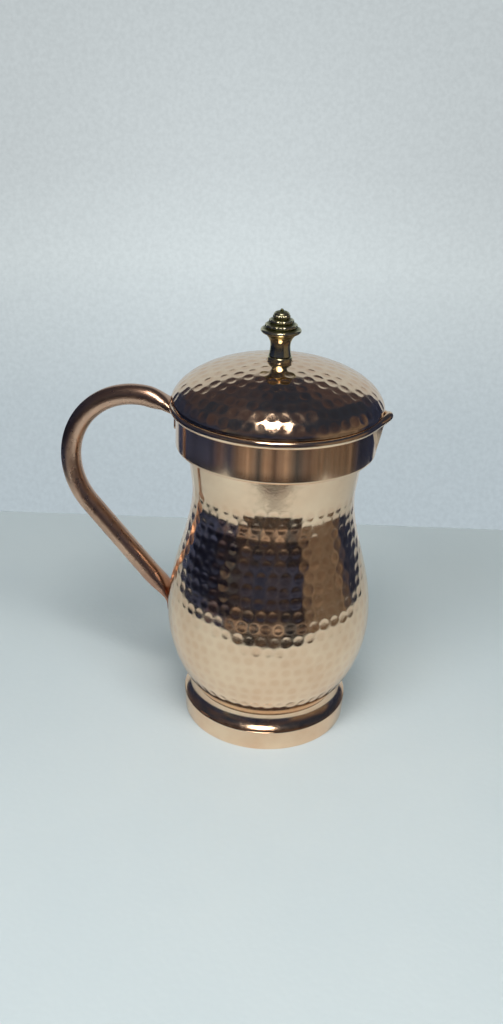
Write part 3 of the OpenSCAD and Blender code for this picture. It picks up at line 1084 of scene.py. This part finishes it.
@dataclass
class Studio:
    """Pale floor and wall boards, a dark room that shows only in the metal, soft light and the camera."""
    camera_at: tuple[float, float, float] = (0.1104, -0.5325, 0.3894)
    forward: tuple[float, float, float] = (-0.2033, 0.8807, -0.4278)
    roll: float = -2.16
    lens: float = 36.36
    wall_behind: float = 262.0
    sheet_front: float = 238.0
    sheet_left: float = 330.0
    sheet_right: float = 330.0
    wall_half: float = 235.0
    wall_top: float = 440.0

    @property
    def turn(self) -> float:
        """Angle of the set round +Z, so that its own -Y looks from the jug to the camera."""
        return math.radians(12.999)

    def flat_board(self, name: str, corners: list[tuple[float, float, float]],
                   material: bpy.types.Material) -> bpy.types.Object:
        """A flat board of the set.

        Args:
            name: the board's name.
            corners: its corners in the set's own frame, in millimetres.
            material: its material.

        Returns:
            The board.
        """
        bm = bmesh.new()
        spin = Matrix.Rotation(self.turn, 3, "Z")
        bmesh.ops.contextual_create(bm, geom=[bm.verts.new(spin @ Vector(c) * MM) for c in corners])
        mesh = bpy.data.meshes.new(name)
        bm.to_mesh(mesh)
        bm.free()
        mesh.materials.append(material)
        board = bpy.data.objects.new(name, mesh)
        bpy.context.scene.collection.objects.link(board)
        return board

    def foam_board(self) -> bpy.types.Material:
        """Expanded foam board: matt white with the outlines of its pressed beads."""
        material, tree = blank_material("foam_board")
        place = add_node(tree, "TexCoord").outputs["Object"]
        # beads about 3 mm across
        beads = add_node(tree, "TexVoronoi", {"Vector": place, "Scale": 1 / (3 * MM)}, feature="SMOOTH_F1")
        tint = add_node(tree, "TexNoise", {"Vector": place, "Scale": 1 / (90 * MM), "Detail": 3.0})
        colour = add_node(tree, "Mix", {"Factor": tint.outputs["Fac"], "A": to_linear("#dce5e9"),
                                        "B": to_linear("#e4ebed")}, data_type="RGBA")
        bump = add_node(tree, "Bump", {"Height": beads.outputs["Distance"], "Strength": 0.35,
                                       "Distance": 0.4 * MM})
        shader = add_node(tree, "BsdfPrincipled", {"Base Color": colour.outputs["Result"], "Roughness": 0.6,
                                                   "Normal": bump.outputs["Normal"]})
        add_node(tree, "OutputMaterial", {"Surface": shader.outputs[0]})
        return material

    def room_light(self, tree: bpy.types.NodeTree, way: bpy.types.NodeSocket,
                   floor: bool) -> bpy.types.NodeSocket:
        """Colours of the dim room round the jug, by direction.

        Args:
            tree: the tree that gets the nodes.
            way: direction or place, seen from the jug's axis.
            floor: whether this is the room's floor, which is brighter a little way off.

        Returns:
            The light's colour.
        """
        turned = add_node(tree, "VectorRotate", {"Vector": way, "Angle": -self.turn}, rotation_type="Z_AXIS")
        parts = add_node(tree, "SeparateXYZ", {0: turned.outputs[0]})
        back = add_node(tree, "Math", {0: parts.outputs[1], 1: -1.0}, operation="MULTIPLY")
        azimuth = add_node(tree, "Math", {0: parts.outputs[0], 1: back.outputs[0]}, operation="ARCTAN2")
        share = add_node(tree, "MapRange", {"Value": azimuth.outputs[0], "From Min": -math.pi,
                                            "From Max": math.pi})
        navy, dusk = (0.022, 0.032, 0.070, 1), (0.046, 0.050, 0.078, 1)
        tan, grey = (0.150, 0.126, 0.102, 1), (0.050, 0.062, 0.075, 1)
        if floor:
            brown, sand = (0.10, 0.085, 0.078, 1), (0.235, 0.200, 0.165, 1)
            wine = (0.06, 0.05, 0.06, 1)
            stops = [(0.0, navy), (0.30, navy), (0.325, wine), (0.36, navy), (0.385, brown), (0.42, sand),
                     (0.45, grey), (0.47, sand), (0.50, brown), (0.53, sand), (0.56, grey), (0.59, brown),
                     (0.63, tan), (0.74, tan), (0.78, navy), (1.0, navy)]
        else:
            stops = [(0.0, navy), (0.33, navy), (0.345, tan), (0.36, grey), (0.40, dusk), (0.47, navy),
                     (0.52, dusk), (0.60, navy), (0.622, tan), (0.78, tan), (0.80, navy), (1.0, navy)]
        walls = set_ramp(add_node(tree, "ValToRGB", {0: share.outputs[0]}), stops)
        if floor:
            # chair legs, table edges and cloths seen end on: streaks that run away from the jug
            clutter = add_node(tree, "TexNoise", {"W": azimuth.outputs[0], "Scale": 9.0, "Detail": 5.0,
                                                  "Roughness": 0.7}, noise_dimensions="1D")
        else:
            clutter = add_node(tree, "TexNoise", {"Vector": turned.outputs[0], "Scale": 7.0, "Detail": 4.0})
        mottle = add_node(tree, "MapRange", {"Value": clutter.outputs["Fac"],
                                             "From Min": 0.3, "From Max": 0.7,
                                             "To Min": 0.5, "To Max": 1.6})
        light = add_node(tree, "Mix", {"Factor": 1.0, "A": walls, "B": mottle.outputs[0]}, data_type="RGBA",
                         blend_type="MULTIPLY").outputs["Result"]
        if floor:
            far = add_node(tree, "VectorMath", {0: way}, operation="LENGTH")
            dim, full, dusky = (0.30, 0.30, 0.33, 1), (1.9, 1.9, 1.9, 1), (0.2, 0.2, 0.25, 1)
            bright = set_ramp(add_node(tree, "ValToRGB", {0: far.outputs["Value"]}),
                              [(0.29, dim), (0.40, dim), (0.45, full), (0.55, full), (0.62, dim),
                               (1.0, dusky)])
            side = add_node(tree, "MapRange", {"Value": share.outputs[0], "From Min": 0.60, "From Max": 0.63})
            even = add_node(tree, "Mix", {"Factor": side.outputs[0], "A": bright, "B": (0.9, 0.9, 0.9, 1)},
                            data_type="RGBA").outputs["Result"]
            light = add_node(tree, "Mix", {"Factor": 1.0, "A": light, "B": even}, data_type="RGBA",
                             blend_type="MULTIPLY").outputs["Result"]
        else:
            # curtains and furniture higher up: plum and navy
            patch = add_node(tree, "TexNoise", {"Vector": turned.outputs[0], "Scale": 1.9, "Detail": 2.0})
            plum = set_ramp(add_node(tree, "ValToRGB", {0: patch.outputs["Fac"]}),
                            [(0.42, (0.024, 0.034, 0.060, 1)), (0.58, (0.062, 0.052, 0.062, 1))])
            high = add_node(tree, "MapRange", {"Value": parts.outputs[2], "From Min": 0.2, "From Max": 0.5})
            light = add_node(tree, "Mix", {"Factor": high.outputs[0], "A": light, "B": plum},
                             data_type="RGBA").outputs["Result"]
        return light

    def room_floor(self) -> bpy.types.Material:
        """The room's dark floor, seen only in the metal."""
        material, tree = blank_material("room_floor")
        place = add_node(tree, "TexCoord").outputs["Object"]
        glow = add_node(tree, "Emission", {"Color": self.room_light(tree, place, True), "Strength": 1.0})
        add_node(tree, "OutputMaterial", {"Surface": glow.outputs[0]})
        return material

    def glowing(self, name: str, colour: tuple, strength: float) -> bpy.types.Material:
        """A board seen only in reflections, with an even brightness of its own."""
        material, tree = blank_material(name)
        glow = add_node(tree, "Emission", {"Color": colour, "Strength": strength})
        add_node(tree, "OutputMaterial", {"Surface": glow.outputs[0]})
        return material

    def build_boards(self) -> None:
        """Lays the floor, and the boards that only the metal sees."""
        back, far = self.wall_behind, 3000.0
        front, left, right, half = self.sheet_front, self.sheet_left, self.sheet_right, self.wall_half
        self.flat_board("foam_floor", [(-far, back, 0), (-far, -far, 0), (far, -far, 0), (far, back, 0)],
                        self.foam_board())
        wall = self.glowing("wall_glow", (0.50, 0.565, 0.60, 1), 1.0)
        dark = self.room_floor()
        lift = 0.4
        hidden = [
            self.flat_board("wall_card", [(-half, back, 0), (half, back, 0), (half, back, self.wall_top),
                                          (-half, back, self.wall_top)], wall),
            self.flat_board("front_card", [(-far, -far, lift), (far, -far, lift), (far, -front, lift),
                                           (-far, -front, lift)], dark),
            self.flat_board("left_card", [(-far, -front, lift), (-left, -front, lift), (-left, far, lift),
                                          (-far, far, lift)], dark),
            self.flat_board("right_card", [(right, -front, lift), (far, -front, lift), (far, far, lift),
                                           (right, far, lift)], dark),
        ]
        for board in hidden:
            for ray in ("camera", "shadow", "diffuse", "transmission"):
                setattr(board, "visible_" + ray, False)

    def build_room(self) -> None:
        """Makes the world: the pale wall for the camera, a dim room for the metal, and a faint glow for other
        rays; the window is a lamp of its own.
        """
        world = bpy.data.worlds.new("room")
        bpy.context.scene.world = world
        world.use_nodes = True
        tree = world.node_tree
        tree.nodes.clear()
        way = add_node(tree, "TexCoord").outputs["Generated"]
        parts = add_node(tree, "SeparateXYZ", {0: way})
        room = self.room_light(tree, way, False)
        background = add_node(tree, "Background", {"Color": room, "Strength": 1.0})
        # the wall board as the camera sees it: a little brighter near the top
        rise = add_node(tree, "MapRange", {"Value": parts.outputs[2], "From Min": -0.45, "From Max": -0.12})
        board = set_ramp(add_node(tree, "ValToRGB", {0: rise.outputs[0]}),
                         [(0.0, (0.475, 0.55, 0.595, 1)), (0.35, (0.50, 0.57, 0.605, 1)),
                          (0.75, (0.60, 0.66, 0.675, 1)), (1.0, (0.55, 0.60, 0.615, 1))])
        grit = add_node(tree, "TexNoise", {"Vector": way, "Scale": 260.0, "Detail": 2.0})
        sparkle = add_node(tree, "MapRange", {"Value": grit.outputs["Fac"], "From Min": 0.3, "From Max": 0.7,
                                              "To Min": 0.96, "To Max": 1.04})
        board = add_node(tree, "Mix", {"Factor": 1.0, "A": board, "B": sparkle.outputs[0]}, data_type="RGBA",
                         blend_type="MULTIPLY").outputs["Result"]
        # the lamp's soft pool of light on the wall board
        pool = add_node(tree, "VectorMath", {0: way, 1: (-0.241, 0.955, -0.176)}, operation="DISTANCE")
        fade = add_node(tree, "MapRange", {"Value": pool.outputs["Value"], "From Min": 0.0, "From Max": 0.30,
                                           "To Min": 1.10, "To Max": 0.95}, interpolation_type="SMOOTHSTEP")
        board = add_node(tree, "Mix", {"Factor": 1.0, "A": board, "B": fade.outputs[0]}, data_type="RGBA",
                         blend_type="MULTIPLY").outputs["Result"]
        plain = add_node(tree, "Background", {"Color": board, "Strength": 1.0})
        soft = add_node(tree, "Background", {"Color": (0.52, 0.72, 0.78, 1), "Strength": 0.17})
        path = add_node(tree, "LightPath")
        unseen = add_node(tree, "MixShader", {0: path.outputs["Is Glossy Ray"], 1: soft.outputs[0],
                                              2: background.outputs[0]})
        seen = add_node(tree, "MixShader", {0: path.outputs["Is Camera Ray"], 1: unseen.outputs[0],
                                            2: plain.outputs[0]})
        add_node(tree, "OutputWorld", {"Surface": seen.outputs[0]})

    def add_light(self, name: str, azimuth: float, elevation: float, distance: float, size: float,
                  power: float, colour: tuple[float, float, float], in_metal: bool) -> None:
        """Adds a soft light that looks at the jug.

        Args:
            name: the light's name.
            azimuth: angle from the camera's side, to the right, in degrees.
            elevation: angle above the floor, in degrees.
            distance: distance from the jug's middle in metres.
            size: diameter of the light in metres.
            power: watts.
            colour: its colour.
            in_metal: whether the metal shows it.
        """
        data = bpy.data.lights.new(name, "AREA")
        data.shape = "DISK"
        data.size = size
        data.energy = power
        data.color = colour
        light = bpy.data.objects.new(name, data)
        a, e = math.radians(azimuth), math.radians(elevation)
        way = Vector((math.sin(a) * math.cos(e), -math.cos(a) * math.cos(e), math.sin(e)))
        way = Matrix.Rotation(self.turn, 3, "Z") @ way
        aim = Vector((0, 0, 0.11))
        light.location = aim + way * distance
        light.rotation_mode = "QUATERNION"
        light.rotation_quaternion = (-way).to_track_quat("-Z", "Y")
        light.visible_glossy = in_metal
        bpy.context.scene.collection.objects.link(light)

    def build_lights(self) -> None:
        """Hangs the lights."""
        self.add_light("window", -4, 60, 1.15, 0.46, 6.0, (1.0, 0.97, 0.92), True)
        self.add_light("fill_left", -38, 42, 1.3, 0.5, 4.5, (0.93, 0.98, 1.0), False)
        self.add_light("fill_right", 34, 50, 1.3, 0.5, 4.2, (0.95, 1.0, 0.99), False)

    def build_camera(self) -> None:
        """Sets up the camera."""
        data = bpy.data.cameras.new("camera")
        data.sensor_width = 36.0
        data.lens = self.lens
        data.clip_start = 0.01
        camera = bpy.data.objects.new("camera", data)
        forward = Vector(self.forward).normalized()
        right = forward.cross(Vector((0, 0, 1))).normalized()
        up = right.cross(forward)
        roll = math.radians(self.roll)
        side = right * math.cos(roll) - up * math.sin(roll)
        top = right * math.sin(roll) + up * math.cos(roll)
        camera.matrix_world = Matrix((side, top, -forward)).transposed().to_4x4()
        camera.location = self.camera_at
        bpy.context.scene.collection.objects.link(camera)
        bpy.context.scene.camera = camera

    def build(self) -> None:
        """Makes the whole set."""
        self.build_boards()
        self.build_room()
        self.build_lights()
        self.build_camera()
        bpy.context.scene.view_settings.view_transform = "Standard"


def dress_node(name: str, material: bpy.types.Material) -> None:
    """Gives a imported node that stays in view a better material.

    Args:
        name: the node.
        material: its material.
    """
    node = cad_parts[name]
    node.data.materials.clear()
    node.data.materials.append(material)
    log.info("%s: keeps its packed mesh", name)


def main() -> None:
    """Builds the set and the jug, piece by piece."""
    logging.basicConfig(level=logging.INFO, format="%(name)s: %(message)s")
    # planished with a round-faced hammer, then buffed: bright ridges, faintly browner hollows
    hammered = CopperFinish("hammered_copper", Grain.HAMMERED, ripple=0.012).build()
    # spun and buffed to a mirror, with a trace of the turning lines
    polished = CopperFinish("polished_copper", Grain.SPUN, bloom_share=0.5, rough=0.12, ripple=0.006).build()
    # rubbed round with fine cloth: reflections are drawn out up and down
    banded = CopperFinish("brushed_copper", Grain.BRUSHED_ROUND, bright="#f2cfae", bloom_share=0.5,
                          rough=0.13, rough_spread=0.02, ripple=0.004, anisotropy=0.8).build()
    # tube rubbed by hand, dull and browner, with torch oxide at the lower end
    satin = CopperFinish("satin_copper", Grain.RUBBED, bright="#d9b298", bloom="#a5806b", bloom_share=0.6,
                         rough=0.27, rough_spread=0.05, ripple=0.0025, heat_z=(62, 92)).build()
    # inside and underside: never buffed, so it stays matt and brown
    dull = CopperFinish("unpolished_copper", Grain.RUBBED, bright="#d39c7c", bloom="#8a5a44", bloom_share=0.8,
                        rough=0.34, rough_spread=0.16, ripple=0.03).build()
    brass = BrassFinish().build()
    steel = SteelFinish().build()

    Studio().build()
    body = Body()
    body.build(hammered)
    Foot().build(polished, dull)
    Collar().build(banded, polished)
    Handle().build(body, satin)
    Lid().build(hammered)
    Knob().build(brass)
    for name, material, slot in (("lid_hem", polished, "polished_copper"),
                                 ("lid_skirt", polished, "polished_copper"),
                                 ("knob_screw", steel, "steel_wire"),
                                 ("knob_washer", brass, "turned_brass")):
        dress_node(name, material)


if __name__ == "__main__":
    main()
